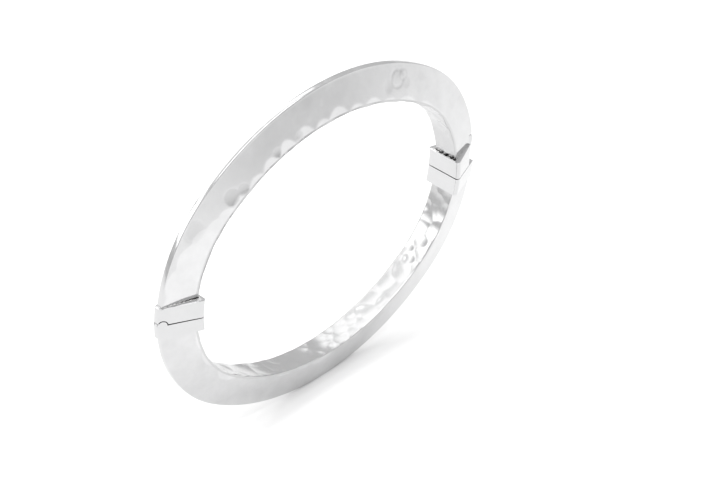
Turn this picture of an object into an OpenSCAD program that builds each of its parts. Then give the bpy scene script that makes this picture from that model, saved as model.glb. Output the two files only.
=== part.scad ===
// Oval hinged bangle bracelet, hollow, with a knife-edge section.
// X is the long axis of the oval, Y is the axis the wrist goes along, Z is up.
// The origin is the centre of the wrist opening. The hinge is at -X and the clasp at +X.

/* [Oval] */
// Inside length of the oval, hinge to clasp
inner_len = 60; // [56:0.5:66]
// Inside height of the oval
inner_height = 46.2; // [44:0.2:48]

/* [Band section] */
// Width of the inner face, along the wrist
band_w = 5.0; // [4.8:0.1:6]
// Width of the outer crest
crest_w = 0.93; // [0.8:0.01:1.2]
// Depth of the band, inner face to crest
band_t = 6.42; // [6.2:0.01:6.8]
// Thickness of the silver sheet
sheet = 0.6; // [0.5:0.05:0.7]

/* [Seams] */
// How far the clasp seam lies below the long axis
clasp_drop = 2.25; // [1.5:0.05:3]
// How far the hinge seam lies above the long axis
hinge_rise = 0.97; // [0:0.01:1.5]
// Gap between the two halves at a seam
seam_gap = 0.2; // [0.12:0.01:0.3]

/* [Collars] */
// Length of the upper hinge collar
upper_hinge_len = 3.1; // [2.8:0.1:3.6]
// Length of the lower hinge collar
lower_hinge_len = 2.4; // [2.2:0.1:3.6]
// Length of the upper clasp collar along the inner face
upper_clasp_len = 3.3; // [2.8:0.1:4]
// Length of the lower clasp collar
lower_clasp_len = 3.0; // [2.4:0.1:3.6]
// Half width of the flat inner facet of a collar
collar_facet = 3.0; // [2.8:0.1:3.2]
// How far a collar stands proud of the inner face
collar_in = 0.5; // [0.4:0.05:0.7]
// How far a collar stands proud of the crest
collar_out = 0.48; // [0.4:0.02:0.6]
// Half width of a collar at its crest
collar_crest = 0.5; // [0.45:0.01:0.6]
// Bend radius of a collar's inner corners
corner_r = 0.5; // [0.4:0.05:0.6]
// Wall of a collar
collar_wall = 0.6; // [0.5:0.05:0.7]
// Share of a collar's length that solder fills, from the seam
collar_fill = 0.5; // [0.3:0.05:0.7]

/* [Hinge] */
// Radius of the hinge barrel
barrel_r = 0.72; // [0.65:0.01:0.75]
// Radius of the hinge pin
pin_r = 0.35; // [0.3:0.01:0.38]
// Running clearance of the middle knuckle on the pin
pin_clear = 0.04; // [0.02:0.01:0.06]
// Radius cleared round a knuckle of the other half
relief_r = 0.88; // [0.86:0.01:0.95]
// Half length of the middle knuckle
middle_knuckle = 0.3; // [0.25:0.01:0.34]
// Side gap between knuckles
knuckle_gap = 0.06; // [0.04:0.01:0.1]

/* [Clasp] */
// Thickness of the fixed tongue leaf
tongue_t = 0.45; // [0.4:0.05:0.5]
// Half width of the fixed tongue leaf
tongue_hw = 0.9; // [0.7:0.05:0.95]
// Height of the tongue's fold above the clasp seam
fold_v = 6.4; // [5.8:0.1:6.6]
// Radius of the tongue's fold
fold_r = 0.42; // [0.4:0.01:0.45]
// Thickness of the spring leaf
leaf_t = 0.4; // [0.3:0.05:0.45]
// Half width of the spring leaf
leaf_hw = 0.4; // [0.3:0.02:0.4]
// Half width of the thumb tab
tab_hw = 0.5; // [0.4:0.02:0.5]
// Side clearance of the tongue and the tab in their slots
slot_clear = 0.12; // [0.1:0.01:0.15]
// Depth at which the crest is open for the thumb tab
open_d = 4.7; // [4.5:0.05:4.9]
// Height of that opening above the clasp seam
open_v = 5.75; // [5.7:0.05:6.2]
// Depth of the middle of the tab's round top
tab_d = 5.45; // [5.4:0.05:5.6]
// Height of the middle of the tab's round top
tab_v = 4.8; // [4.6:0.05:4.8]
// Radius of the tab's round top
tab_r = 0.7; // [0.6:0.05:0.7]

/* [Hidden] */
$fn = 96;
big = 20;
silver = [0.86, 0.87, 0.88];
bright_silver = [0.92, 0.93, 0.94];
inner_silver = [0.78, 0.79, 0.81];
dark_silver = [0.6, 0.61, 0.63];

// The oval is four tangent arcs, set out on 3-4-5 triangles: the end arcs' centres lie
// 3 units along X, the flatter arcs' centres 4 units along Z, and these lie 5 units apart.
unit = (inner_len - inner_height) / 4;
end_x = 3 * unit;
side_z = 4 * unit;
end_r = inner_height / 2 - unit;
side_r = end_r + 5 * unit;
join_deg = atan2(4, 3);

// Seam angles about the end arcs' centres, and the half gap at mid depth.
clasp_deg = -asin(clasp_drop / end_r);
hinge_deg = 180 - asin(hinge_rise / end_r);
gap_deg = (seam_gap / 2) / (end_r + band_t / 2) * 180 / PI;

// Band section: half width at a depth d from the inner face.
slope = (band_w - crest_w) / 2 / band_t;
function half_w(d) = band_w / 2 - slope * d;
function cavity_w(d) = half_w(d) - sheet * sqrt(1 + slope * slope);
cavity_top = 5.2;
// Degrees by which two sweeps about one axis lap, so that they join into one solid.
lap_deg = 0.5;

// Collar section: a straight side runs from the crest to a tangent round corner.
collar_top = band_t + collar_out;
function along_deg(len) = len / end_r * 180 / PI;

// Hinge pivot, as [x, z]: the barrel's outside is flush with the collar's crest.
pivot_d = collar_top - barrel_r;
pivot = [
    -end_x + (end_r + pivot_d) * cos(hinge_deg),
    (end_r + pivot_d) * sin(hinge_deg)
];
web_half = 0.45;
// Half the angle of the collar outline that trims the barrel's ends.
trim_deg = 8;

// A point [x, z] near the clasp: d out from the inner face, v up from the seam.
function clasp_pt(d, v) = [
    end_x + (end_r + d) * cos(clasp_deg) - v * sin(clasp_deg),
    (end_r + d) * sin(clasp_deg) + v * cos(clasp_deg)
];
// Distance and angle of a point about the hinge pivot.
function from_pivot(p) = norm(p - pivot);
function pivot_deg(p) = atan2(p[1] - pivot[1], p[0] - pivot[0]);

tongue_d = 1.6;
tongue_foot_v = -3.2;
tongue_in = from_pivot(clasp_pt(tongue_d, 0));
tongue_from = pivot_deg(clasp_pt(tongue_d, tongue_foot_v));
tongue_to = pivot_deg(clasp_pt(tongue_d, fold_v));
fold_reach = tongue_in + 0.9 * fold_r;
fold = pivot + fold_reach * [cos(tongue_to), sin(tongue_to)];
// The spring leaf starts beside the fold, clear of the fixed leaf.
leaf_root = fold + [0.36, 0];
leaf_end = clasp_pt(3.75, 0.85);
leaf_dir = (leaf_end - leaf_root) / norm(leaf_end - leaf_root);
leaf_side = [-leaf_dir[1], leaf_dir[0]];
plate_deg = sheet / (end_r + band_t / 2) * 180 / PI;

// Sweeps a profile about an axis along Y through [cx, cz]. Angles run from X towards Z.
module sweep(cx, cz, start, turn) {
    translate([cx, 0, cz])
        rotate([90, 0, 0])
            rotate([0, 0, start])
                rotate_extrude(angle = turn)
                    children();
}

// A rod along Y at [x, z].
module y_rod(at, r, half) {
    translate([at[0], 0, at[1]])
        rotate([90, 0, 0])
            cylinder(r = r, h = 2 * half, center = true);
}

// A flat outline in the X-Z plane, given thickness along Y.
module xz_plate(half, points) {
    rotate([90, 0, 0])
        linear_extrude(2 * half, center = true)
            polygon(points);
}

// Trapezoid across the band between two depths, inset from the band's own width.
module band_slice(from_d, to_d) {
    polygon([
        [from_d, -half_w(from_d)],
        [to_d, -half_w(to_d)],
        [to_d, half_w(to_d)],
        [from_d, half_w(from_d)]
    ]);
}

module cavity_slice() {
    polygon([
        [sheet, -cavity_w(sheet)],
        [cavity_top, -cavity_w(cavity_top)],
        [cavity_top, cavity_w(cavity_top)],
        [sheet, cavity_w(sheet)]
    ]);
}

module shell_slice() {
    difference() {
        band_slice(sheet, band_t);
        cavity_slice();
    }
}

// One half of the band. Every arc starts at a join between an end arc and a side arc, and
// the two parts of the side arc lap in the middle.
module upper_half() {
    half_side = 90 - join_deg + lap_deg;
    to_clasp = join_deg - clasp_deg - gap_deg;
    to_hinge = hinge_deg - gap_deg - (180 - join_deg);
    sweep(end_x, 0, join_deg, -to_clasp)
        translate([end_r, 0])
            children();
    sweep(0, -side_z, join_deg, half_side)
        translate([side_r, 0])
            children();
    sweep(0, -side_z, 180 - join_deg, -half_side)
        translate([side_r, 0])
            children();
    sweep(-end_x, 0, 180 - join_deg, to_hinge)
        translate([end_r, 0])
            children();
}

module lower_half() {
    half_side = 90 - join_deg + lap_deg;
    to_hinge = 180 + join_deg - hinge_deg - gap_deg;
    to_clasp = clasp_deg - gap_deg + join_deg;
    sweep(-end_x, 0, 180 + join_deg, -to_hinge)
        translate([end_r, 0])
            children();
    sweep(0, side_z, 180 + join_deg, half_side)
        translate([side_r, 0])
            children();
    sweep(0, side_z, -join_deg, -half_side)
        translate([side_r, 0])
            children();
    sweep(end_x, 0, -join_deg, to_clasp)
        translate([end_r, 0])
            children();
}

// The tangent point of a collar's side on its round corner.
corner_centre = [corner_r - collar_in, collar_facet];
side_reach = [collar_top, collar_crest] - corner_centre;
side_deg = atan2(side_reach[1], side_reach[0]) + acos(corner_r / norm(side_reach));
corner_arc = [
    for (i = [0:5])
        let (a = side_deg + (180 - side_deg) * i / 5)
            corner_centre + corner_r * [cos(a), sin(a)]
];
function mirrored(points) = [for (i = [len(points) - 1:-1:0]) [points[i][0], -points[i][1]]];

module collar_outline() {
    near_side = concat([[collar_top, collar_crest]], corner_arc);
    polygon(concat(near_side, mirrored(near_side)));
}

// The room left open inside a collar's rim: the band and a wedge at each side of it.
module collar_pocket() {
    tangent = corner_arc[0];
    side_slope = (tangent[1] - collar_crest) / (collar_top - tangent[0]);
    wall = collar_wall * sqrt(1 + side_slope * side_slope);
    wall_at_face = collar_crest + side_slope * collar_top - wall;
    close_d = (wall_at_face - band_w / 2) / (side_slope - slope);
    polygon([
        [0, -wall_at_face],
        [close_d, -half_w(close_d)],
        [band_t, -half_w(band_t)],
        [band_t, half_w(band_t)],
        [close_d, half_w(close_d)],
        [0, wall_at_face]
    ]);
}

// A sleeve round the band's end, filled with solder at the seam and open at the rim.
module collar(cx, seam, turn) {
    fill = turn * collar_fill;
    lap = sign(turn) * lap_deg;
    sweep(cx, 0, seam, fill)
        translate([end_r, 0])
            difference() {
                collar_outline();
                band_slice(0, band_t);
            }
    sweep(cx, 0, seam + fill - lap, turn - fill + lap)
        translate([end_r, 0])
            difference() {
                collar_outline();
                collar_pocket();
            }
}

// A collar whose rim is parallel to its seam. The length is negative below the seam's angle.
module straight_collar(cx, seam, len) {
    difference() {
        collar(cx, seam, along_deg(len));
        translate([cx, 0, 0])
            rotate([0, -seam, 0])
                translate([0, -big, len > 0 ? len : len - big])
                    cube([2 * big, 2 * big, big]);
    }
}

// Room in the upper half for the outer knuckles.
module upper_relief() {
    y_rod(pivot, relief_r, big);
}

// Seats in the lower half for the outer knuckles, and room for the middle one.
module lower_relief() {
    y_rod(pivot, barrel_r, big);
    y_rod(pivot, relief_r, middle_knuckle + knuckle_gap);
}

// The stretch of crest that is left out, where the thumb tab takes its place.
module crest_opening() {
    xz_plate(big, [
        clasp_pt(open_d, -0.5),
        clasp_pt(9, -0.5),
        clasp_pt(9, open_v + 0.5),
        clasp_pt(open_d, open_v)
    ]);
}

// The slot under that opening, which the tab is pressed into.
module tab_slot() {
    xz_plate(tab_hw + slot_clear, [
        clasp_pt(3.2, -0.5),
        clasp_pt(open_d + 0.5, -0.5),
        clasp_pt(open_d + 0.5, open_v),
        clasp_pt(open_d - 0.5, open_v),
        clasp_pt(open_d - 0.5, 2.2),
        clasp_pt(3.2, 2.2)
    ]);
}

module upper_outer_shell() {
    color(silver)
        difference() {
            upper_half()
                shell_slice();
            upper_relief();
            crest_opening();
            tab_slot();
        }
}

module upper_inner_band() {
    color(inner_silver)
        upper_half()
            band_slice(0, sheet);
}

module lower_outer_shell() {
    color(silver)
        difference() {
            lower_half()
                shell_slice();
            lower_relief();
        }
}

module lower_inner_band() {
    color(inner_silver)
        lower_half()
            band_slice(0, sheet);
}

module upper_hinge_collar() {
    color(bright_silver)
        difference() {
            straight_collar(-end_x, hinge_deg - gap_deg, -upper_hinge_len);
            upper_relief();
        }
}

module lower_hinge_collar() {
    color(bright_silver)
        difference() {
            straight_collar(-end_x, hinge_deg + gap_deg, lower_hinge_len);
            lower_relief();
        }
}

module upper_clasp_collar() {
    color(bright_silver)
        difference() {
            collar(end_x, clasp_deg + gap_deg, along_deg(upper_clasp_len));
            crest_opening();
            tab_slot();
        }
}

module lower_clasp_collar() {
    color(bright_silver)
        straight_collar(end_x, clasp_deg - gap_deg, -lower_clasp_len);
}

// A plate soldered inside the hollow end, flush with the seam.
module end_plate(cx, seam, way) {
    sweep(cx, 0, seam, way * plate_deg)
        translate([end_r, 0])
            cavity_slice();
}

module upper_hinge_plate() {
    color(dark_silver)
        end_plate(-end_x, hinge_deg - gap_deg, -1);
}

module lower_hinge_plate() {
    color(dark_silver)
        end_plate(-end_x, hinge_deg + gap_deg, 1);
}

// The catch plate is a fork: wide at the root for the tongue, open to the crest for the tab.
module upper_catch_plate() {
    color(dark_silver)
        difference() {
            end_plate(end_x, clasp_deg + gap_deg, 1);
            tongue_sweep(tongue_hw + slot_clear, slot_clear, tongue_t + slot_clear);
            tongue_sweep(leaf_hw + slot_clear, 0, band_t);
            crest_opening();
        }
}

module lower_clasp_plate() {
    color(dark_silver)
        difference() {
            end_plate(end_x, clasp_deg - gap_deg, -1);
            tongue_sweep(tongue_hw, 0, tongue_t);
        }
}

// The space inside the collars' outline near the hinge, which trims the barrel's ends.
module hinge_outline() {
    sweep(-end_x, 0, hinge_deg - trim_deg, 2 * trim_deg)
        translate([end_r, 0])
            collar_outline();
}

// The middle knuckle, with the web that joins it to the upper half.
module middle_knuckle_barrel() {
    color(bright_silver)
        difference() {
            union() {
                y_rod(pivot, barrel_r, middle_knuckle);
                intersection() {
                    y_rod(pivot, relief_r, middle_knuckle);
                    translate([pivot[0] - web_half, -middle_knuckle, pivot[1]])
                        cube([2 * web_half, 2 * middle_knuckle, big]);
                }
            }
            y_rod(pivot, pin_r + pin_clear, big);
        }
}

// An outer knuckle, soldered into its seat in the lower half.
module outer_knuckle(side) {
    inner_end = middle_knuckle + knuckle_gap;
    half = (band_w / 2 - inner_end) / 2;
    difference() {
        intersection() {
            translate([0, side * (inner_end + half), 0])
                y_rod(pivot, barrel_r, half);
            hinge_outline();
        }
        y_rod(pivot, pin_r, big);
    }
}

module near_knuckle_barrel() {
    color(bright_silver)
        outer_knuckle(-1);
}

module far_knuckle_barrel() {
    color(bright_silver)
        outer_knuckle(1);
}

module hinge_pin() {
    color(dark_silver)
        intersection() {
            y_rod(pivot, pin_r, band_w / 2);
            hinge_outline();
        }
}

// The tongue is curved about the hinge pivot, so that it draws straight out of its slot.
module tongue_sweep(half, inner_room, reach) {
    sweep(pivot[0], pivot[1], tongue_from, tongue_to - tongue_from)
        translate([tongue_in - inner_room, -half])
            square([reach + inner_room, 2 * half]);
}

module tongue_leaf() {
    color(silver)
        union() {
            tongue_sweep(tongue_hw, 0, tongue_t);
            y_rod(fold, fold_r, tongue_hw);
        }
}

module leaf_bar() {
    xz_plate(leaf_hw, [
        leaf_root - leaf_side * leaf_t / 2,
        leaf_end - leaf_side * leaf_t / 2,
        leaf_end + leaf_side * leaf_t / 2,
        leaf_root + leaf_side * leaf_t / 2
    ]);
}

module spring_leaf() {
    color(silver)
        difference() {
            leaf_bar();
            y_rod(fold, fold_r + knuckle_gap, big);
        }
}

// A point on the tab's round top, a degrees round from the outward side.
function tab_rim(a) = clasp_pt(tab_d + tab_r * cos(a), tab_v + tab_r * sin(a));

// The thumb tab: a blade in the open crest, with a round top, and a neck to the leaf.
module thumb_tab() {
    color(bright_silver)
        difference() {
            union() {
                xz_plate(tab_hw, [
                    clasp_pt(5.0, 0.5),
                    clasp_pt(5.5, 0.5),
                    tab_rim(-4),
                    tab_rim(176),
                    clasp_pt(4.8, 1.5)
                ]);
                y_rod(clasp_pt(tab_d, tab_v), tab_r, tab_hw);
                xz_plate(leaf_hw, [
                    clasp_pt(3.85, 0.9),
                    clasp_pt(5.2, 0.7),
                    clasp_pt(5.2, 1.5),
                    clasp_pt(3.85, 1.5)
                ]);
            }
            leaf_bar();
        }
}

upper_outer_shell();
upper_inner_band();
upper_hinge_collar();
upper_clasp_collar();
upper_hinge_plate();
upper_catch_plate();
middle_knuckle_barrel();
lower_outer_shell();
lower_inner_band();
lower_hinge_collar();
lower_clasp_collar();
lower_hinge_plate();
lower_clasp_plate();
near_knuckle_barrel();
far_knuckle_barrel();
hinge_pin();
tongue_leaf();
spring_leaf();
thumb_tab();
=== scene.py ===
import math
import random

import bmesh
import bpy
from mathutils import Matrix, Vector, kdtree, noise


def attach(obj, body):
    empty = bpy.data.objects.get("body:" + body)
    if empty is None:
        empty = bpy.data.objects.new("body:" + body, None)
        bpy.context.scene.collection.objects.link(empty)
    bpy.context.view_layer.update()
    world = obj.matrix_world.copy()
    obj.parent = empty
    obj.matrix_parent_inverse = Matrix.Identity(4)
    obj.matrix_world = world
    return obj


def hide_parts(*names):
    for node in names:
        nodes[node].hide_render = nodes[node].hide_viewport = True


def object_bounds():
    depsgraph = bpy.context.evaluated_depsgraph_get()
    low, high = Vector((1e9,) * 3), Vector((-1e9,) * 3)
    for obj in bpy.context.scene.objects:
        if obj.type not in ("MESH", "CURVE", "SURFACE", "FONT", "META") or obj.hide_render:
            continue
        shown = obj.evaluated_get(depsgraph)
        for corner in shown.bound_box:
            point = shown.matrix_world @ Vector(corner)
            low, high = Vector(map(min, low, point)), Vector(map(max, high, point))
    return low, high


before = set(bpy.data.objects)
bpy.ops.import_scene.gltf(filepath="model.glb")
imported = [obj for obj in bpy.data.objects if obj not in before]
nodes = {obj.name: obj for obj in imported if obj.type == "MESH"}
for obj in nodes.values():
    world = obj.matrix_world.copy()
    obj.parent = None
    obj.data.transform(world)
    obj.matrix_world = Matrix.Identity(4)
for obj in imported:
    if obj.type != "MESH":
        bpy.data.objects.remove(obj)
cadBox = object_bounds()
print("frame loaded:", len(nodes), "nodes")

# Shapes are made in millimetres and brought to metres when a piece is finished.
perMetre = 1000.0
sharpDeg = 35            # edges turned more than this are shaded sharp

oval = {
    "innerLength": 60.0,
    "innerHeight": 46.2,
    "claspDrop": 2.25,   # the clasp seam lies this far below the long axis
    "hingeRise": 0.97,   # the hinge seam lies this far above it
    "seamGap": 0.2,
}
band = {
    "innerWidth": 5.0,
    "crestWidth": 0.93,
    "depth": 6.42,
    "sheet": 0.6,
    "cavityDepth": 5.2,
    "edgeRound": 0.27,   # softened inner edge
    "crestRound": 0.13,
    "station": 0.24,     # spacing of the cross sections
    "grain": 0.22,       # spacing across the faces
    "longSide": 5.5,     # only the sloping faces are longer in section
}

unit = (oval["innerLength"] - oval["innerHeight"]) / 4
endX = 3 * unit
sideZ = 4 * unit
endR = oval["innerHeight"] / 2 - unit
sideR = endR + 5 * unit
joinDeg = math.degrees(math.atan2(4, 3))
claspDeg = -math.degrees(math.asin(oval["claspDrop"] / endR))
hingeDeg = 180 - math.degrees(math.asin(oval["hingeRise"] / endR))
gapDeg = math.degrees(oval["seamGap"] / 2 / (endR + band["depth"] / 2))
slope = (band["innerWidth"] - band["crestWidth"]) / 2 / band["depth"]
slopeOut = Vector((slope, 1)).normalized()
halves = {
    "upper": (claspDeg + gapDeg, hingeDeg - gapDeg),
    "lower": (hingeDeg + gapDeg, 360 + claspDeg - gapDeg),
}


def halfWidth(depth):
    return band["innerWidth"] / 2 - slope * depth


def arcAt(deg):
    turn = (deg + 180) % 360 - 180
    if abs(turn) <= joinDeg:
        return (endX, 0), endR
    if abs(turn) >= 180 - joinDeg:
        return (-endX, 0), endR
    return (0, -sideZ if turn > 0 else sideZ), sideR


def bandPoint(deg, depth, across):
    (x, z), radius = arcAt(deg)
    turn = math.radians(deg)
    reach = radius + depth
    return Vector((x + reach * math.cos(turn), across, z + reach * math.sin(turn)))


def bandPlace(point):
    # the angle round the oval and the depth from its inner face
    for x in (endX, -endX):
        deg = math.degrees(math.atan2(point.z, point.x - x))
        if (abs(deg) <= joinDeg) if x > 0 else (abs(deg) >= 180 - joinDeg):
            return deg, math.hypot(point.x - x, point.z) - endR
    z = -sideZ if point.z >= 0 else sideZ
    deg = math.degrees(math.atan2(point.z - z, point.x))
    return deg, math.hypot(point.x, point.z - z) - sideR


def rounded(corners, radii, segments=4):
    # a closed outline, with an arc at each corner that has a radius
    points = []
    for i, corner in enumerate(corners):
        here = Vector(corner)
        if not radii[i]:
            points.append(here)
            continue
        back = (Vector(corners[i - 1]) - here).normalized()
        ahead = (Vector(corners[(i + 1) % len(corners)]) - here).normalized()
        half = back.angle(ahead) / 2
        centre = here + (back + ahead).normalized() * radii[i] / math.sin(half)
        start = here + back * radii[i] / math.tan(half) - centre
        end = here + ahead * radii[i] / math.tan(half) - centre
        turn = start.angle_signed(end)
        for k in range(segments + 1):
            points.append(centre + start @ Matrix.Rotation(turn * k / segments, 2))
    return points


def drawLoop(bm, deg, points):
    verts = [bm.verts.new(bandPoint(deg, p[0], p[1])) for p in points]
    return [bm.edges.new((verts[i - 1], verts[i])) for i in range(len(verts))]


def divide(bm, edges, step):
    for edge in list(edges):
        cuts = math.ceil(edge.calc_length() / step) - 1
        if cuts > 0:
            bmesh.ops.subdivide_edges(bm, edges=[edge], cuts=cuts)


def spinAlong(bm, geom, fromDeg, toDeg, step):
    # carries a section along the oval, arc by arc
    joins = [joinDeg, 180 - joinDeg, 180 + joinDeg, 360 - joinDeg]
    stops = [fromDeg] + [j for j in joins if fromDeg < j < toDeg] + [toDeg]
    for a, b in zip(stops, stops[1:]):
        (x, z), radius = arcAt((a + b) / 2)
        turn = math.radians(b - a)
        steps = max(1, math.ceil(abs(turn) * (radius + band["depth"] / 2) / step))
        made = bmesh.ops.spin(
            bm, geom=geom, cent=(x, 0, z), axis=(0, -1, 0), dvec=(0, 0, 0), angle=turn,
            steps=steps, use_merge=False, use_normal_flip=False, use_duplicate=False)
        geom = made["geom_last"]


def sharpen(bm):
    limit = math.radians(sharpDeg)
    for face in bm.faces:
        face.smooth = True
    for edge in bm.edges:
        if len(edge.link_faces) == 2 and edge.calc_face_angle(0) > limit:
            edge.smooth = False


def claspPoint(depth, rise):
    # a place by the clasp: out from the inner face, and up from the seam
    turn = math.radians(claspDeg)
    reach = endR + depth
    return Vector((endX + reach * math.cos(turn) - rise * math.sin(turn), 0,
                   reach * math.sin(turn) + rise * math.cos(turn)))


def extrudeAcross(bm, points, half):
    # a flat outline in the X-Z plane, given thickness along Y
    verts = [bm.verts.new(Vector((p.x, -half, p.z))) for p in points]
    face = bm.faces.new(verts)
    made = bmesh.ops.extrude_face_region(bm, geom=[face])["geom"]
    moved = [v for v in made if isinstance(v, bmesh.types.BMVert)]
    bmesh.ops.translate(bm, vec=(0, 2 * half, 0), verts=moved)
    bmesh.ops.recalc_face_normals(bm, faces=bm.faces[:])


def finishPiece(bm, name, body, material, stands=()):
    bmesh.ops.recalc_face_normals(bm, faces=bm.faces[:])
    if bm.calc_volume(signed=True) < 0:
        print(name, "was inside out")
        bmesh.ops.reverse_faces(bm, faces=bm.faces[:])
    sharpen(bm)
    gaps = sum(not edge.is_manifold for edge in bm.edges)
    print(name, "faces:", len(bm.faces), "open edges:", gaps)
    bmesh.ops.scale(bm, vec=(1 / perMetre,) * 3, verts=bm.verts[:])
    mesh = bpy.data.meshes.new(name)
    bm.to_mesh(mesh)
    bm.free()
    piece = bpy.data.objects.new(name, mesh)
    bpy.context.scene.collection.objects.link(piece)
    mesh.materials.append(material)
    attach(piece, body)
    if stands:
        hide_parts(*stands)
    return piece


def cutAway(piece, bm):
    # takes a millimetre shape out of a piece
    bmesh.ops.scale(bm, vec=(1 / perMetre,) * 3, verts=bm.verts[:])
    tool = bpy.data.meshes.new("cutter")
    bm.to_mesh(tool)
    bm.free()
    cutter = bpy.data.objects.new("cutter", tool)
    bpy.context.scene.collection.objects.link(cutter)
    cut = piece.modifiers.new("cut", "BOOLEAN")
    cut.operation = "DIFFERENCE"
    cut.solver = "EXACT"
    cut.object = cutter
    bpy.context.view_layer.update()
    ready = piece.evaluated_get(bpy.context.evaluated_depsgraph_get())
    mesh = bpy.data.meshes.new_from_object(ready)
    piece.modifiers.clear()
    old = piece.data
    piece.data = mesh
    bpy.data.meshes.remove(old)
    mesh.name = piece.name
    print(piece.name, "cut, faces:", len(mesh.polygons))
    bpy.data.objects.remove(cutter)
    bpy.data.meshes.remove(tool)


# ---- silver

silver = {
    "polished": (0.61, 0.61, 0.614),
    "worn": (0.56, 0.56, 0.563),
    # painted light: the solder is painted lighter than the silver, lifting the shade in its
    # recessed rims
    "solder": (0.74, 0.735, 0.73),
    "hidden": (0.52, 0.52, 0.52),
}


def addNode(tree, kind, inputs=None, **settings):
    node = tree.nodes.new(kind)
    for key, value in settings.items():
        setattr(node, key, value)
    for key, value in (inputs or {}).items():
        node.inputs[key].default_value = value
    return node


def makeSilverGroup():
    # clouds of polish, fine scratches and pits, in object coordinates
    group = bpy.data.node_groups.new("silverSurface", "ShaderNodeTree")
    face = group.interface
    ins = {
        "Silver": ("NodeSocketColor", (0.8, 0.8, 0.8, 1)),
        "Shine": ("NodeSocketFloat", 0.15),
        "Clouding": ("NodeSocketFloat", 0.04),
        "Scratching": ("NodeSocketFloat", 0.3),
        "Pitting": ("NodeSocketFloat", 0.2),
    }
    for name, (kind, value) in ins.items():
        face.new_socket(name=name, in_out="INPUT", socket_type=kind).default_value = value
    for name, kind in (("Colour", "NodeSocketColor"), ("Roughness", "NodeSocketFloat"),
                       ("Height", "NodeSocketFloat")):
        face.new_socket(name=name, in_out="OUTPUT", socket_type=kind)
    given = group.nodes.new("NodeGroupInput")
    out = group.nodes.new("NodeGroupOutput")
    link = group.links.new
    where = addNode(group, "ShaderNodeTexCoord")
    clouds = addNode(group, "ShaderNodeTexNoise", {"Scale": 300, "Detail": 8, "Roughness": 0.72})
    fine = addNode(group, "ShaderNodeTexNoise", {"Scale": 5200, "Detail": 3, "Roughness": 0.6})
    stretch = addNode(group, "ShaderNodeMapping", {"Scale": (900, 14000, 900)})
    scratches = addNode(group, "ShaderNodeTexNoise", {"Scale": 1.0, "Detail": 2})
    for node in (clouds, fine, stretch):
        link(where.outputs["Object"], node.inputs["Vector"])
    link(stretch.outputs[0], scratches.inputs["Vector"])
    centred = addNode(group, "ShaderNodeMath", {1: 0.5}, operation="SUBTRACT")
    link(clouds.outputs["Fac"], centred.inputs[0])
    amount = addNode(group, "ShaderNodeMath", operation="MULTIPLY")
    link(centred.outputs[0], amount.inputs[0])
    link(given.outputs["Clouding"], amount.inputs[1])
    gain = addNode(group, "ShaderNodeMath", {1: 1.0}, operation="ADD")
    link(amount.outputs[0], gain.inputs[0])
    tint = addNode(group, "ShaderNodeVectorMath", operation="SCALE")
    link(given.outputs["Silver"], tint.inputs[0])
    link(gain.outputs[0], tint.inputs["Scale"])
    link(tint.outputs[0], out.inputs["Colour"])
    rough = addNode(group, "ShaderNodeMath", {1: 1.5}, operation="MULTIPLY_ADD")
    link(amount.outputs[0], rough.inputs[0])
    link(given.outputs["Shine"], rough.inputs[2])
    link(rough.outputs[0], out.inputs["Roughness"])
    lines = addNode(group, "ShaderNodeMath", operation="MULTIPLY")
    link(scratches.outputs["Fac"], lines.inputs[0])
    link(given.outputs["Scratching"], lines.inputs[1])
    pits = addNode(group, "ShaderNodeMath", operation="MULTIPLY_ADD")
    link(fine.outputs["Fac"], pits.inputs[0])
    link(given.outputs["Pitting"], pits.inputs[1])
    link(lines.outputs[0], pits.inputs[2])
    link(pits.outputs[0], out.inputs["Height"])
    return group


silverGroup = makeSilverGroup()


def makeSilver(name, colour, shine, clouding=0.04, scratching=0.3, pitting=0.2,
               bump=0.000004, paintedSheenAndShade=0.0):
    material = bpy.data.materials.new(name)
    material.use_nodes = True
    tree = material.node_tree
    shader = tree.nodes["Principled BSDF"]
    shader.inputs["Metallic"].default_value = 1.0
    surface = addNode(tree, "ShaderNodeGroup", node_tree=silverGroup)
    surface.inputs["Silver"].default_value = (*colour, 1)
    surface.inputs["Shine"].default_value = shine
    surface.inputs["Clouding"].default_value = clouding
    surface.inputs["Scratching"].default_value = scratching
    surface.inputs["Pitting"].default_value = pitting
    relief = addNode(tree, "ShaderNodeBump", {"Strength": 1.0, "Distance": bump})
    colour = surface.outputs["Colour"]
    if paintedSheenAndShade:
        # painted sheen and shade: hammered flats are painted brighter than the face round them,
        # and deep blows and punch rings painted darker, in place of their reflections
        flat = addNode(tree, "ShaderNodeAttribute", attribute_name="paintedSheenAndShade")
        gain = addNode(tree, "ShaderNodeMath", {1: paintedSheenAndShade, 2: 1.0}, operation="MULTIPLY_ADD")
        paintedSheenNode = addNode(tree, "ShaderNodeVectorMath", operation="SCALE")
        tree.links.new(flat.outputs["Fac"], gain.inputs[0])
        tree.links.new(colour, paintedSheenNode.inputs[0])
        tree.links.new(gain.outputs[0], paintedSheenNode.inputs["Scale"])
        colour = paintedSheenNode.outputs[0]
    tree.links.new(colour, shader.inputs["Base Color"])
    tree.links.new(surface.outputs["Roughness"], shader.inputs["Roughness"])
    tree.links.new(surface.outputs["Height"], relief.inputs["Height"])
    tree.links.new(relief.outputs["Normal"], shader.inputs["Normal"])
    return material


# the hammered faces carry painted sheen on their flats and painted shade in their blows and
# punch rings
hammeredSilver = makeSilver("hammeredSilver", silver["polished"], 0.14, clouding=0.36,
                            scratching=0.2, paintedSheenAndShade=0.1)
collarSilver = makeSilver("collarSilver", silver["polished"], 0.17, clouding=0.12, pitting=0.4)
innerSilver = makeSilver("innerSilver", silver["worn"], 0.25, clouding=0.1, scratching=0.5)
hiddenSilver = makeSilver("hiddenSilver", silver["hidden"], 0.32, clouding=0.2, pitting=0.6)
# the solder's own silver, painted lighter to lift the shade in the recessed rims
solderSilverPaintedLight = makeSilver("solderSilverPaintedLight", silver["solder"], 0.45, clouding=0.5, pitting=1.0)
print("silver mixed")

# ---- hammer marks

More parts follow.
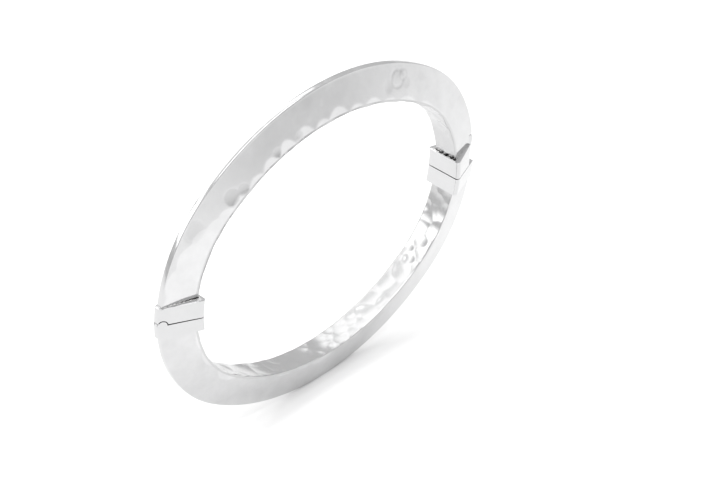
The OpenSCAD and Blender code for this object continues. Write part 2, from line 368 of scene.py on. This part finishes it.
hammer = {
    "seed": 11,
    "soften": 0.003,      # how far ridges between blows are polished down
    "blowStep": 2.0,      # spacing of the blows along the inner face
    "blowReach": (1.4, 2.7),
    "blowDepth": (0.1, 0.24),
    "flatStep": 4.6,      # spacing of the flats along an inner edge
    "flatTop": (0.5, 1.7),
    "flatHalf": (1.8, 3.4),
    "flatLean": (0.045, 0.09),
    "undulation": 0.02,
    "waveScale": 0.16,
    "faint": -0.05,       # cuts further above the face than this are left out
    "paintedSheenFrom": 0.002,    # a flat is painted brighter, as sheen, from this depth
    "paintedSheenFull": 0.006,
    "blowPaintedShade": 20,        # how much painted shade a blow gets for each millimetre of its depth
    # the cut at which a blow's painted shade is full
    "blowShadeFull": 0.01,
    # painted shade in a punch ring
    "ringPaintedShade": 0.6,
    "room": 1.3,          # how many edge radii the inner and side marks share
    "crestRoom": 1.2,     # how many crest radii are left plain
    "faceSkin": 0.06,     # how near a side face a point belongs to it
    "innerSkin": 0.12,
    "ringWidth": 0.3,
}
# flats along the near edge of the upper half: angle, how far up the face each reaches,
# half its length, and how steeply it leans in
nearFlats = [
    (170, 6.2, 4.6, 0.045), (161, 6.4, 5.0, 0.052), (151, 5.6, 4.6, 0.05),
    (142, 4.4, 3.6, 0.062), (135, 3.0, 3.2, 0.055), (128.5, 2.3, 2.8, 0.07),
    (122, 1.6, 2.6, 0.06), (116, 1.5, 2.2, 0.085), (110.5, 1.9, 2.3, 0.075),
    (104.5, 2.3, 2.1, 0.09), (98.5, 2.2, 2.3, 0.075), (92.5, 1.4, 2.0, 0.085),
    (87, 2.0, 2.6, 0.08), (80.5, 1.2, 2.2, 0.09), (74.5, 1.4, 2.4, 0.075),
    (68, 1.0, 2.4, 0.08), (61, 1.3, 3.0, 0.06), (52, 1.1, 3.4, 0.065), (42, 0.9, 3.4, 0.06),
]
# single blows on the near face: angle, depth on the face, reach, how deep
nearBlows = [
    (123, 2.3, 1.5, 0.075), (119.8, 1.5, 1.1, 0.07), (107.5, 1.5, 0.9, 0.05),
    (100, 1.2, 0.8, 0.06), (139.5, 4.7, 1.5, 0.04), (66, 5.2, 1.3, 0.025),
    (62.5, 3.3, 1.1, 0.03), (69, 2.6, 1.2, 0.03), (57, 4.6, 1.0, 0.02),
]
# marks of a round punch: angle, depth on the face, radius, how deep
nearRings = [(66, 3.9, 1.5, 0.035), (64, 4.6, 0.9, 0.025), (139.5, 4.8, 1.7, 0.02)]


def faceFlat(deg, top, half, lean):
    return bandPoint(deg, 0, 0), top, lean, lean * top / half ** 2


dice = random.Random(hammer["seed"])
flats = {-1: [faceFlat(*values) for values in nearFlats], 1: []}
for side, fromDeg in ((-1, 180.0), (1, 0.0)):
    deg = fromDeg
    while deg < 358:
        flats[side].append(faceFlat(deg, dice.uniform(*hammer["flatTop"]),
                                    dice.uniform(*hammer["flatHalf"]),
                                    dice.uniform(*hammer["flatLean"])))
        deg += math.degrees(hammer["flatStep"] / arcAt(deg)[1]) * dice.uniform(0.6, 1.4)
blows = []
deg = 0.0
while deg < 360:
    for across in (-1.7, 0, 1.7):
        if dice.random() < 0.75:
            spot = bandPoint(deg + dice.uniform(-1.8, 1.8), 0, across + dice.uniform(-0.7, 0.7))
            blows.append((spot, dice.uniform(*hammer["blowReach"]),
                          dice.uniform(*hammer["blowDepth"])))
    deg += math.degrees(hammer["blowStep"] / arcAt(deg)[1])
blowTree = kdtree.KDTree(len(blows))
for number, blow in enumerate(blows):
    blowTree.insert(blow[0], number)
blowTree.balance()
widest = max(blow[1] for blow in blows)
faceBlows = [(bandPoint(deg, depth, -halfWidth(depth)), reach, deep)
             for deg, depth, reach, deep in nearBlows]
faceRings = [(bandPoint(deg, depth, -halfWidth(depth)), radius, deep)
             for deg, depth, radius, deep in nearRings]
print("hammer blows:", len(blows), "flats:", len(flats[-1]) + len(flats[1]))


def worn(cuts):
    # the deepest of several cuts, with the ridges between them rubbed smooth
    soft = hammer["soften"]
    return soft * math.log(1 + sum(math.exp(cut / soft) for cut in cuts
                               if cut > hammer["faint"]))


def gradual(value, full):
    return min(1.0, max(0.0, value / full))


def innerCut(point):
    return worn(deep * (1 - (distance / blows[number][1]) ** 2)
                for spot, number, distance in blowTree.find_range(point, widest * 1.1)
                for deep in (blows[number][2],))


def sideCut(point, deg, depth):
    # how deep a side face is cut here, and how much painted sheen or painted shade it gets
    foot = bandPoint(deg, 0, 0)
    near = point.y < 0
    cuts = [lean * (top - depth) - curve * (foot - spot).length_squared
            for spot, top, lean, curve in flats[-1 if near else 1]]
    paintedTone = gradual(max(cuts) - hammer["paintedSheenFrom"], hammer["paintedSheenFull"])
    if near:
        struck = [(deep * (1 - (point - spot).length_squared / reach ** 2), deep)
                  for spot, reach, deep in faceBlows]
        strongest, deep = max(struck)
        # a deep blow is painted darker, as shade
        paintedTone -= hammer["blowPaintedShade"] * deep * gradual(strongest, hammer["blowShadeFull"])
        cuts += [blow[0] for blow in struck]
    cut = worn(cuts)
    if near:
        for spot, radius, deep in faceRings:
            off = ((point - spot).length - radius) / hammer["ringWidth"]
            mark = max(0.0, 1 - off * off)
            cut += deep * mark
            # a punch ring is painted darker, as shade
            paintedTone -= hammer["ringPaintedShade"] * mark
    return cut, paintedTone


def hammerBand(bm):
    room = band["edgeRound"] * hammer["room"]
    plain = band["depth"] - band["crestRound"] * hammer["crestRoom"]
    # a vertex layer of painted sheen on the flats and painted shade in the blows
    paintedLightLayer = bm.verts.layers.float.new("paintedSheenAndShade")
    for vert in bm.verts:
        deg, depth = bandPlace(vert.co)
        onSide = abs(vert.co.y) > halfWidth(depth) - hammer["faceSkin"] or depth < room
        if depth > plain or not onSide:
            continue
        turn = math.radians(deg)
        outward = Vector((math.cos(turn), 0, math.sin(turn)))
        share = min(1.0, max(0.0, depth / room))
        if depth < room and abs(vert.co.y) < halfWidth(0) - band["edgeRound"] - 0.01:
            if depth > hammer["innerSkin"]:
                continue
            share = 0.0
        wave = hammer["undulation"] * (1 + noise.noise(vert.co * hammer["waveScale"]))
        shift = Vector((0, 0, 0))
        if share < 1:
            shift += outward * (innerCut(vert.co) + wave) * (1 - share)
        if share > 0:
            face = outward * slopeOut.x + Vector((0, math.copysign(slopeOut.y, vert.co.y), 0))
            cut, paintedTone = sideCut(vert.co, deg, depth)
            shift -= face * (cut + wave) * share
            vert[paintedLightLayer] = paintedTone
        vert.co += shift


def makeShell(half):
    bm = bmesh.new()
    fromDeg, toDeg = halves[half]
    low, top = band["sheet"], band["depth"]
    wall = band["sheet"] * math.sqrt(1 + slope * slope)
    roof = band["cavityDepth"]
    crest = halfWidth(top)
    corners = [(low, -halfWidth(low)), (top, -crest), (top, crest), (low, halfWidth(low)),
               (low, halfWidth(low) - wall), (roof, halfWidth(roof) - wall),
               (roof, wall - halfWidth(roof)), (low, wall - halfWidth(low))]
    curve = band["crestRound"]
    outline = rounded(corners, [0, curve, curve, 0, 0, 0, 0, 0], 3)
    edges = drawLoop(bm, fromDeg, outline)
    sides = [e for e in edges if e.calc_length() > band["longSide"]]
    divide(bm, sides, band["grain"])
    spinAlong(bm, bm.verts[:] + bm.edges[:], fromDeg, toDeg, band["station"])
    bmesh.ops.holes_fill(bm, edges=[e for e in bm.edges if e.is_boundary], sides=0)
    hammerBand(bm)
    return finishPiece(bm, half + "Shell", half + "_half",
                       hammeredSilver, [half + "_outer_shell"])


def makeInnerBand(half):
    # the curved sheet that closes the hollow
    bm = bmesh.new()
    fromDeg, toDeg = halves[half]
    thick = band["sheet"]
    corners = [(thick, -halfWidth(thick)), (0, -halfWidth(0)), (0, halfWidth(0)),
               (thick, halfWidth(thick))]
    curve = band["edgeRound"]
    outline = rounded(corners, [0, curve, curve, 0], 5)
    edges = drawLoop(bm, fromDeg, outline)
    face = [e for e in edges if e.calc_length() > 1 and e.verts[0].co.y * e.verts[1].co.y < 0]
    face = [e for e in face if abs(bandPlace(e.verts[0].co)[1]) < 0.01]
    divide(bm, face, band["grain"])
    spinAlong(bm, bm.verts[:] + bm.edges[:], fromDeg, toDeg, band["station"])
    bmesh.ops.holes_fill(bm, edges=[e for e in bm.edges if e.is_boundary], sides=0)
    hammerBand(bm)
    return finishPiece(bm, half + "InnerBand", half + "_half",
                       innerSilver, [half + "_inner_band"])


upperShell = makeShell("upper")
lowerShell = makeShell("lower")
makeInnerBand("upper")
makeInnerBand("lower")
print("band halves hammered")

# ---- hinge and clasp openings

hinge = {
    "barrel": 0.72,
    "relief": 0.88,
    "crestProud": 0.48,  # how far the collar crest stands above the band's
    "cutHalf": 6,        # half length of the rod that cuts the seats
}
opening = {
    "depth": 4.7,        # the crest is left out past this depth
    "rise": 5.75,
    "slotHalf": 0.62,
    "slotDepth": 3.2,
    "slotRise": 2.2,
    "overlap": 0.5,
    "outside": 9,
    "cutHalf": 6,
}
pivotReach = endR + band["depth"] + hinge["crestProud"] - hinge["barrel"]
pivot = Vector((-endX + pivotReach * math.cos(math.radians(hingeDeg)), 0,
                pivotReach * math.sin(math.radians(hingeDeg))))


def cutRod(piece, radius):
    bm = bmesh.new()
    place = Matrix.Translation(pivot) @ Matrix.Rotation(math.pi / 2, 4, "X")
    bmesh.ops.create_cone(bm, cap_ends=True, segments=64, radius1=radius, radius2=radius,
                          depth=2 * hinge["cutHalf"], matrix=place)
    cutAway(piece, bm)


def cutOpening(piece):
    deep, rise, over = opening["depth"], opening["rise"], opening["overlap"]
    foot, step = opening["slotDepth"], opening["slotRise"]
    bm = bmesh.new()
    extrudeAcross(bm, [claspPoint(deep, -over), claspPoint(opening["outside"], -over),
                       claspPoint(opening["outside"], rise + over), claspPoint(deep, rise)],
                  opening["cutHalf"])
    cutAway(piece, bm)
    bm = bmesh.new()
    extrudeAcross(bm, [claspPoint(foot, -over), claspPoint(deep + over, -over),
                       claspPoint(deep + over, rise), claspPoint(deep - over, rise),
                       claspPoint(deep - over, step), claspPoint(foot, step)],
                  opening["slotHalf"])
    cutAway(piece, bm)


cutRod(upperShell, hinge["relief"])
cutRod(lowerShell, hinge["barrel"])
cutOpening(upperShell)
print("shells cut for the hinge and the thumb tab")

# ---- collars

collar = {
    "proudInside": 0.5,
    "proudCrest": 0.48,
    "crestHalf": 0.5,
    "facetHalf": 3.0,
    "bend": 0.5,         # radius of the two inner corners
    "wall": 0.6,
    "thicker": 0.36,     # how much solder thickens the wall at a rim
    "step": 0.25,
    "softEdge": 0.07,
    "waver": 0.035,      # how far hand filing has moved the faces
    "waverScale": 0.7,
    "crestEdge": 0.12,
    "spare": 1.1,        # extra length, cut off again where the rim is straight
    "cornerTurn": 1.2,   # edges turned more than this, in radians, are softened
    "thinEdge": 0.7,
    "skin": 0.05,        # how near the outside a corner lies
    "clear": 0.1,
    "claspTrench": 0.25,  # a gap under the upper clasp collar's inner face
    "upperHinge": 3.1,
    "lowerHinge": 2.4,
    "upperClasp": 3.3,
    "lowerClasp": 3.0,
}
crestTop = band["depth"] + collar["proudCrest"]
bendCentre = Vector((collar["bend"] - collar["proudInside"], collar["facetHalf"]))
sideReach = Vector((crestTop, collar["crestHalf"])) - bendCentre
sideTurn = math.atan2(sideReach.y, sideReach.x) + math.acos(collar["bend"] / sideReach.length)
sideOut = Vector((math.cos(sideTurn), math.sin(sideTurn)))
sideLine = sideOut.dot(Vector((crestTop, collar["crestHalf"])))


def sideAt(depth, wall=0.0):
    # how far across the collar's side face lies at a depth, or the inside of its wall
    return (sideLine - wall - sideOut.x * depth) / sideOut.y


def sleeveOutside():
    low = -collar["proudInside"]
    reach = sideAt(low)
    corners = [(low, -reach), (crestTop, -collar["crestHalf"]),
               (crestTop, collar["crestHalf"]), (low, reach)]
    bend, edge = collar["bend"], collar["crestEdge"]
    return rounded(corners, [bend, edge, edge, bend], 5)


def sleeveInside(trench):
    # the band's own outline, with a wedge of room at each inner corner
    wide = sideAt(0, collar["wall"] + collar["thicker"])
    lean = sideOut.x / sideOut.y
    close = (wide - halfWidth(0)) / (lean - slope)
    top = band["depth"]
    return [(-trench, -wide), (close, -halfWidth(close)), (top, -halfWidth(top)),
            (top, halfWidth(top)), (close, halfWidth(close)), (-trench, wide)]


def closeEnds(bm, seam):
    # fills between the inside and outside loops at the seam, and then at the rim
    rims = [e for e in bm.edges if e.is_boundary]
    groups = []
    while rims:
        loop, grow = set(), [rims[0]]
        while grow:
            edge = grow.pop()
            if edge in loop:
                continue
            loop.add(edge)
            for vert in edge.verts:
                grow += [e for e in vert.link_edges if e.is_boundary and e not in loop]
        groups.append(loop)
        rims = [e for e in rims if e not in loop]

    def fromSeam(loop):
        middle = sum((e.verts[0].co for e in loop), Vector()) / len(loop)
        return abs((bandPlace(middle)[0] - seam + 180) % 360 - 180)

    groups.sort(key=fromSeam)
    bm.edges.index_update()
    for inside, outside in (groups[:2], groups[2:]):
        both = sorted(inside | outside, key=lambda e: e.index)
        bmesh.ops.triangle_fill(bm, edges=both, use_beauty=True)


def alongDeg(length):
    return math.degrees(length / endR)


def openCrest(bm):
    # levels a collar's two sides where the crest is left open for the thumb tab
    out = (claspPoint(1, 0) - claspPoint(0, 0)).normalized()
    bmesh.ops.bisect_plane(bm, geom=bm.verts[:] + bm.edges[:] + bm.faces[:], dist=0.0005,
                           plane_co=claspPoint(opening["depth"], 0), plane_no=out,
                           clear_outer=True)
    bmesh.ops.holes_fill(bm, edges=[e for e in bm.edges if e.is_boundary], sides=0)


def endOf(half, end):
    # where a half ends, which way the band leaves that seam, and the arc's centre
    way = 1 if (half == "upper") == (end == "clasp") else -1
    seam = {"hinge": hingeDeg, "clasp": claspDeg}[end] + way * gapDeg
    return seam, way, Vector((endX if end == "clasp" else -endX, 0, 0))


def alongBand(deg, way):
    turn = math.radians(deg)
    return Vector((-math.sin(turn), 0, math.cos(turn))) * way


def makeCollar(half, end, length, fan=False, trench=0.0):
    seam, way, centre = endOf(half, end)
    low, top = -trench - collar["clear"], crestTop - collar["skin"]
    bm = bmesh.new()
    drawLoop(bm, seam, sleeveInside(trench))
    edges = drawLoop(bm, seam, sleeveOutside())
    divide(bm, edges, collar["step"] * 2)
    spinAlong(bm, bm.verts[:] + bm.edges[:], seam,
              seam + way * alongDeg(length * (1 if fan else collar["spare"])), collar["step"])
    if not fan:
        # the rim is parallel to the seam
        along = alongBand(seam, way)
        bmesh.ops.bisect_plane(bm, geom=bm.verts[:] + bm.edges[:] + bm.faces[:], dist=0.0005,
                               plane_co=centre + along * length, plane_no=along,
                               clear_outer=True)
    closeEnds(bm, seam)
    bmesh.ops.recalc_face_normals(bm, faces=bm.faces[:])

    def onOutside(vert):
        depth = bandPlace(vert.co)[1]
        return depth < low or depth > top or abs(vert.co.y) > sideAt(depth) - collar["skin"]

    rims = [e for e in bm.edges if len(e.link_faces) == 2
            and e.calc_face_angle(0) > collar["cornerTurn"]
            and e.calc_length() < collar["thinEdge"]]
    outer = [e for e in rims if any(onOutside(v) for v in e.verts)]
    bmesh.ops.bevel(bm, geom=outer, offset=collar["softEdge"], offset_type="OFFSET",
                    affect="EDGES", segments=2, profile=0.5, material=-1, clamp_overlap=True)
    for vert in bm.verts:
        deg, depth = bandPlace(vert.co)
        out = Vector((0, 1 if vert.co.y > 0 else -1, 0))
        if depth < low:
            out = Vector((-math.cos(math.radians(deg)), 0, -math.sin(math.radians(deg))))
        elif abs(vert.co.y) < sideAt(depth) - collar["clear"]:
            continue
        swell = 0.5 + 0.5 * noise.noise(vert.co * collar["waverScale"])
        vert.co -= out * collar["waver"] * swell
    if fan:
        openCrest(bm)
    return finishPiece(bm, half + end.title() + "Collar", half + "_half",
                       collarSilver, ["_".join((half, end, "collar"))])


solder = {
    "room": 0.06,        # how far it runs into the metal round it
    "grain": 0.12,
    "cuts": 3,
    "depth": 1.4,
    "recess": 0.05,      # how far below the rim it lies
    "lump": (0.1, 2.3),  # height and scale of the lumps
    "ripple": (0.05, 6),
    "pitDepth": 0.6,     # pits are only this near the inner face
}
# pits along the inner rim of the upper clasp collar: across, half width, how deep
claspPits = [(2.9, 0.25, 0.3), (1.0, 0.3, 0.9), (-0.15, 0.36, 1.2), (-1.45, 0.25, 0.9),
             (-2.2, 0.3, 1.1)]


def makeSolder(half, end, length, recess=solder["recess"], pits=(), fan=False, trench=0.0):
    # the filler between the band and its collar, lumpy at the open rim
    seam, way, centre = endOf(half, end)
    room = solder["room"]
    hole = sleeveInside(trench)
    outside = [(d - (room if d < 1 else -room), w + math.copysign(room, w)) for d, w in hole]
    high = band["depth"] - room
    inside = [(room, room - halfWidth(room)), (high, room - halfWidth(high)),
              (high, halfWidth(high) - room), (room, halfWidth(room) - room)]
    bm = bmesh.new()
    rimDeg = seam + way * alongDeg(length - recess)
    loops = drawLoop(bm, rimDeg, outside) + drawLoop(bm, rimDeg, inside)
    divide(bm, loops, solder["grain"])
    bmesh.ops.bridge_loops(bm, edges=bm.edges[:])
    spokes = [e for e in bm.edges if not e.is_boundary]
    bmesh.ops.subdivide_edges(bm, edges=spokes, cuts=solder["cuts"])
    bmesh.ops.triangulate(bm, faces=bm.faces[:])
    top = bm.verts[:]
    along = alongBand(rimDeg if fan else seam, way)
    made = bmesh.ops.extrude_face_region(bm, geom=bm.faces[:], use_keep_orig=True)["geom"]
    base = [v for v in made if isinstance(v, bmesh.types.BMVert)]
    bmesh.ops.translate(bm, vec=-along * solder["depth"], verts=base)
    for vert in top:
        if not fan:
            # level the filler with the straight rim
            vert.co += along * (length - recess - (vert.co - centre).dot(along))
        lump = sum(height * noise.noise(vert.co * scale)
                   for height, scale in (solder["lump"], solder["ripple"]))
        dent = 0.0
        for across, reach, deep in pits:
            if bandPlace(vert.co)[1] < solder["pitDepth"]:
                dent = max(dent, deep * (1 - ((vert.co.y - across) / reach) ** 2))
        vert.co += along * (lump - dent)
    if fan:
        openCrest(bm)
    return finishPiece(bm, half + end.title() + "Solder", half + "_half",
                       solderSilverPaintedLight)


trench = collar["claspTrench"]
upperHinge = makeCollar("upper", "hinge", collar["upperHinge"])
lowerHinge = makeCollar("lower", "hinge", collar["lowerHinge"])
makeCollar("upper", "clasp", collar["upperClasp"], fan=True, trench=trench)
makeCollar("lower", "clasp", collar["lowerClasp"])
cutRod(upperHinge, hinge["relief"])
cutRod(lowerHinge, hinge["barrel"])
makeSolder("upper", "hinge", collar["upperHinge"], recess=0.0)
makeSolder("lower", "hinge", collar["lowerHinge"])
makeSolder("upper", "clasp", collar["upperClasp"], pits=claspPits, fan=True, trench=trench)
makeSolder("lower", "clasp", collar["lowerClasp"])
print("collars soldered on")

# ---- thumb tab

tab = {
    "depth": 5.45,       # middle of the round top
    "rise": 4.8,
    "radius": 0.7,
    "half": 0.5,
    "softEdge": 0.14,
    "arcSteps": 12,
    "foot": [(5.0, 0.5), (5.5, 0.5)],
    "heel": (4.8, 1.5),
    "neck": [(3.85, 0.9), (5.2, 0.7), (5.2, 1.5), (3.85, 1.5)],
    "neckHalf": 0.4,
}


def tabRim(deg):
    turn = math.radians(deg)
    return claspPoint(tab["depth"] + tab["radius"] * math.cos(turn),
                      tab["rise"] + tab["radius"] * math.sin(turn))


def makeThumbTab():
    bm = bmesh.new()
    steps = tab["arcSteps"]
    rim = [tabRim(k * 180 / steps) for k in range(steps + 1)]
    foot = [claspPoint(*place) for place in tab["foot"]]
    extrudeAcross(bm, foot + rim + [claspPoint(*tab["heel"])], tab["half"])
    outline = [e for e in bm.edges if abs(e.verts[0].co.y - e.verts[1].co.y) < 0.01]
    bmesh.ops.bevel(bm, geom=outline, offset=tab["softEdge"], offset_type="OFFSET",
                    affect="EDGES", segments=4, profile=0.5, material=-1, clamp_overlap=True)
    neck = bmesh.new()
    extrudeAcross(neck, [claspPoint(*place) for place in tab["neck"]], tab["neckHalf"])
    spare = bpy.data.meshes.new("neck")
    neck.to_mesh(spare)
    neck.free()
    bm.from_mesh(spare)
    bpy.data.meshes.remove(spare)
    return finishPiece(bm, "thumbTab", "catch", collarSilver, ["thumb_tab"])


makeThumbTab()
print("thumb tab set in its slot")

for name, node in nodes.items():
    node.data.materials.clear()
    node.data.materials.append(hiddenSilver if "plate" in name else collarSilver)

# ---- stage

stage = {
    "floorSize": 3.0,
    "floorWhite": 0.92,
    "horizon": 0.72,
    "zenith": 0.92,
}
# place, size and power of each soft light
softboxes = {
    "overhead": ((0.0, -0.02, 0.45), (0.4, 0.4), 1.4),
    "behind": ((0.05, 0.5, 0.55), (0.8, 0.2), 0.6),
    "left": ((-0.5, 0.4, 0.42), (0.4, 0.4), 0.8),
}
lowest = cadBox[0].z
bm = bmesh.new()
bmesh.ops.create_grid(bm, x_segments=1, y_segments=1, size=stage["floorSize"] / 2)
bmesh.ops.translate(bm, vec=(0, 0, lowest), verts=bm.verts[:])
floorMesh = bpy.data.meshes.new("floor")
bm.to_mesh(floorMesh)
bm.free()
floor = bpy.data.objects.new("floor", floorMesh)
bpy.context.scene.collection.objects.link(floor)
paper = bpy.data.materials.new("whitePaper")
paper.use_nodes = True
sheet = paper.node_tree.nodes["Principled BSDF"]
sheet.inputs["Base Color"].default_value = (*(stage["floorWhite"],) * 3, 1)
sheet.inputs["Roughness"].default_value = 0.9
sheet.inputs["Specular IOR Level"].default_value = 0.0
floorMesh.materials.append(paper)

world = bpy.data.worlds.new("studio")
bpy.context.scene.world = world
world.use_nodes = True
tree = world.node_tree
sky = tree.nodes["Background"]
where = addNode(tree, "ShaderNodeTexCoord")
split = addNode(tree, "ShaderNodeSeparateXYZ")
ramp = addNode(tree, "ShaderNodeValToRGB")
tree.links.new(where.outputs["Generated"], split.inputs[0])
tree.links.new(split.outputs["Z"], ramp.inputs["Fac"])
ramp.color_ramp.elements[0].color = (*(stage["horizon"],) * 3, 1)
ramp.color_ramp.elements[1].color = (*(stage["zenith"],) * 3, 1)
tree.links.new(ramp.outputs["Color"], sky.inputs["Color"])


def addSoftbox(name, place, size, watts):
    lampData = bpy.data.lights.new(name, "AREA")
    lampData.shape = "RECTANGLE"
    lampData.size, lampData.size_y = size
    lampData.energy = watts
    lamp = bpy.data.objects.new(name, lampData)
    bpy.context.scene.collection.objects.link(lamp)
    lamp.location = place
    lamp.rotation_euler = (-lamp.location).to_track_quat("-Z", "Y").to_euler()


for name, values in softboxes.items():
    addSoftbox(name, *values)

camera = {
    "azimuth": -45.6,
    "elevation": 36.4,
    "distance": 0.466,
    "lens": 142.3,
    "offRight": 0.00582,
    "offUp": -0.00203,
}
turn, lift = math.radians(camera["azimuth"]), math.radians(camera["elevation"])
back = Vector((math.sin(turn) * math.cos(lift), -math.cos(turn) * math.cos(lift),
               math.sin(lift)))
right = Vector((math.cos(turn), math.sin(turn), 0))
up = back.cross(right)
cameraData = bpy.data.cameras.new("camera")
cameraData.lens = camera["lens"]
cameraData.sensor_width = 36
cameraData.clip_start = 0.01
cameraObject = bpy.data.objects.new("camera", cameraData)
bpy.context.scene.collection.objects.link(cameraObject)
cameraObject.matrix_world = Matrix.Translation(
    back * camera["distance"] + right * camera["offRight"] + up * camera["offUp"]
) @ Matrix((right, up, back)).transposed().to_4x4()
bpy.context.scene.camera = cameraObject
bpy.context.scene.view_settings.view_transform = "Standard"
print("stage and camera set")
